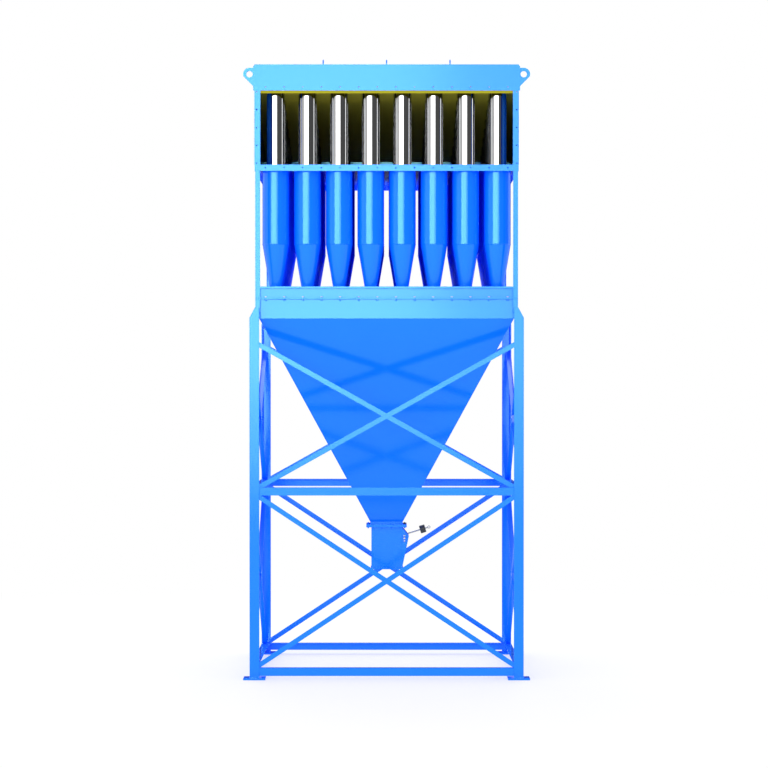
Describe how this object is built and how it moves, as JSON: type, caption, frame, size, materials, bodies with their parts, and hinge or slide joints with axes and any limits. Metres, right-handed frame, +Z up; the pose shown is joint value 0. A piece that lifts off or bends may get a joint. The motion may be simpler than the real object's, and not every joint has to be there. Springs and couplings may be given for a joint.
{
  "type": "cyclone separator",
  "caption": "Square multi-cell cyclone dust separator on an angle-iron stand, with a pyramid hopper, a counterweighted flap valve and a flanged gas inlet and outlet.",
  "frame": {"origin": "on the floor at the middle of the plan", "axes": "+Z up, the gas inlet faces -Y and the clean gas outlet +Y, the valve's lever points to +X"},
  "size_m": [2.3398, 2.336, 5.0609],
  "materials": {
    "blue_paint": "satin",
    "olive_paint": "satin",
    "bright_steel": "polished",
    "plated_steel": "satin",
    "dark_iron": "matte"
  },
  "bodies": {
    "separator": {"base_plates": "blue_paint", "leg_front_left": "blue_paint", "leg_front_right": "blue_paint", "leg_back_left": "blue_paint", "leg_back_right": "blue_paint", "bottom_beams": "blue_paint", "mid_beams": "blue_paint", "upper_braces_rising": "blue_paint", "upper_braces_falling": "blue_paint", "lower_braces_rising": "blue_paint", "lower_braces_falling": "blue_paint", "skirt_packers": "blue_paint", "hopper_front": "blue_paint", "hopper_right": "blue_paint", "hopper_back": "blue_paint", "hopper_left": "blue_paint", "hopper_skirt": "blue_paint", "skirt_corners": "blue_paint", "band_corners": "blue_paint", "hopper_outlet": "blue_paint", "valve_flange": "blue_paint", "valve_cheeks": "blue_paint", "valve_left_wall": "blue_paint", "valve_right_wall": "blue_paint", "valve_chute": "blue_paint", "valve_bearings": "blue_paint", "valve_cover": "blue_paint", "valve_lip": "blue_paint", "dust_band": "blue_paint", "dust_plate": "blue_paint", "bay_posts": "blue_paint", "cyclones_1": "blue_paint", "cyclones_2": "blue_paint", "cyclones_3": "blue_paint", "cyclones_4": "blue_paint", "inclined_tube_sheet": "olive_paint", "outlet_tubes_1": "bright_steel", "outlet_tubes_2": "bright_steel", "outlet_tubes_3": "bright_steel", "outlet_tubes_4": "bright_steel", "lower_tube_sheet": "blue_paint", "inlet_sill": "blue_paint", "sheet_edges": "blue_paint", "casing_left": "blue_paint", "casing_right": "blue_paint", "casing_back": "blue_paint", "roof": "blue_paint", "inlet_jambs": "blue_paint", "inlet_header": "blue_paint", "outlet_frame": "blue_paint", "roof_eyes": "blue_paint", "lifting_lugs": "blue_paint"},
    "flap": {"flap_plate": "blue_paint", "flap_shaft": "plated_steel", "flap_lever": "plated_steel", "counterweight": "dark_iron"}
  },
  "joints": [
    {"name": "flap_hinge", "type": "hinge", "parent": "separator", "child": "flap", "pos_m": [0.153, 0, 1.101], "axis": [0, -1, 0], "range_deg": [0, 30]}
  ]
}
